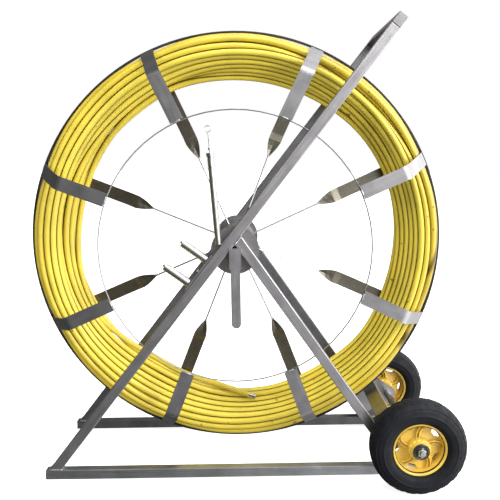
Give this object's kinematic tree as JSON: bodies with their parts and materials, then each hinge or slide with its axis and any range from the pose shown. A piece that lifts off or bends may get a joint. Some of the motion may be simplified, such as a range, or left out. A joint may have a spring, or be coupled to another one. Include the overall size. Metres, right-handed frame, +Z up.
{
  "type": "wheeled rod reel",
  "caption": "Square-tube A-frame on two rubber wheels, carrying a turning flat-bar cage that holds a coil of yellow fibreglass duct rod.",
  "frame": {"origin": "centre of the bounding box at floor level, under the reel", "axes": "+X from the frame's feet towards the wheels, +Y along the reel's axis away from the brake lever, +Z up"},
  "size_m": [1.1347, 0.534, 1.1704],
  "materials": {
    "tube_steel": "satin grey, dull zinc",
    "strip_steel": "rolled flat bar, satin",
    "dark_steel": "dark grey, matt",
    "bright_steel": "bright plated",
    "hoop_black": "black",
    "rod_yellow": "smooth yellow jacket",
    "rim_yellow": "gloss yellow",
    "tyre_rubber": "matt black",
    "pad_brown": "friction facing"
  },
  "bodies": {
    "frame": {"base_rail_near": "tube_steel", "base_rail_far": "tube_steel", "diagonal_near": "tube_steel", "diagonal_far": "tube_steel", "brace_near": "tube_steel", "brace_far": "tube_steel", "handle_tube": "tube_steel", "axle_bracket_near": "tube_steel", "axle_bracket_far": "tube_steel", "rear_cross_tube": "tube_steel", "wheel_axle": "bright_steel", "axle_spacer_near": "dark_steel", "axle_spacer_far": "dark_steel", "axle_nut_near": "bright_steel", "axle_nut_far": "bright_steel", "axle_plate_near": "dark_steel", "axle_plate_far": "dark_steel", "reel_axle": "bright_steel", "reel_axle_nut": "bright_steel", "brake_pad": "pad_brown", "lock_tube": "bright_steel", "guide_plate": "dark_steel"},
    "reel": {"fork_1": "strip_steel", "fork_2": "strip_steel", "fork_3": "strip_steel", "fork_4": "strip_steel", "fork_5": "strip_steel", "fork_6": "strip_steel", "fork_7": "strip_steel", "fork_8": "strip_steel", "spoke_1": "strip_steel", "spoke_2": "strip_steel", "spoke_3": "strip_steel", "spoke_4": "strip_steel", "spoke_5": "strip_steel", "spoke_6": "strip_steel", "spoke_7": "strip_steel", "spoke_8": "strip_steel", "hub_tube": "dark_steel", "hub_end_near": "dark_steel", "hub_end_far": "dark_steel", "hub_bearing_near": "bright_steel", "hub_bearing_far": "bright_steel", "front_ring": "bright_steel", "hoop": "hoop_black", "rod_winding": "rod_yellow", "rod_end_fitting": "bright_steel"},
    "wheel_near": {"tyre_near": "tyre_rubber", "rim_near": "rim_yellow", "wheel_bearing_outer_near": "dark_steel", "wheel_bearing_inner_near": "dark_steel"},
    "wheel_far": {"tyre_far": "tyre_rubber", "rim_far": "rim_yellow", "wheel_bearing_outer_far": "dark_steel", "wheel_bearing_inner_far": "dark_steel"},
    "roller_a": {"guide_roller_a": "bright_steel"},
    "roller_b": {"guide_roller_b": "bright_steel"},
    "lever": {"brake_lever": "tube_steel"},
    "lock_pull": {"lock_pull_rod": "bright_steel"}
  },
  "joints": [
    {"name": "reel_spin", "type": "hinge", "parent": "frame", "child": "reel", "pos_m": [-0.01087, 0, 0.59883], "axis": [0, 1, 0], "continuous": true},
    {"name": "wheel_near_spin", "type": "hinge", "parent": "frame", "child": "wheel_near", "pos_m": [0.44747, -0.217, 0.12], "axis": [0, 1, 0], "continuous": true},
    {"name": "wheel_far_spin", "type": "hinge", "parent": "frame", "child": "wheel_far", "pos_m": [0.44747, 0.217, 0.12], "axis": [0, 1, 0], "continuous": true},
    {"name": "roller_a_spin", "type": "hinge", "parent": "frame", "child": "roller_a", "pos_m": [-0.07832, -0.1583, 0.5741], "axis": [-0.8167, 0, 0.577], "continuous": true},
    {"name": "roller_b_spin", "type": "hinge", "parent": "frame", "child": "roller_b", "pos_m": [-0.12234, -0.1583, 0.51556], "axis": [-0.8167, 0, 0.577], "continuous": true},
    {"name": "brake_lever_swing", "type": "hinge", "parent": "frame", "child": "lever", "pos_m": [-0.01087, 0, 0.59883], "axis": [0, 1, 0], "range_deg": [-70, 70]},
    {"name": "lock_pin_pull", "type": "slide", "parent": "frame", "child": "lock_pull", "axis": [-0.0911, 0, 0.9958], "range_m": [0, 0.02]}
  ]
}
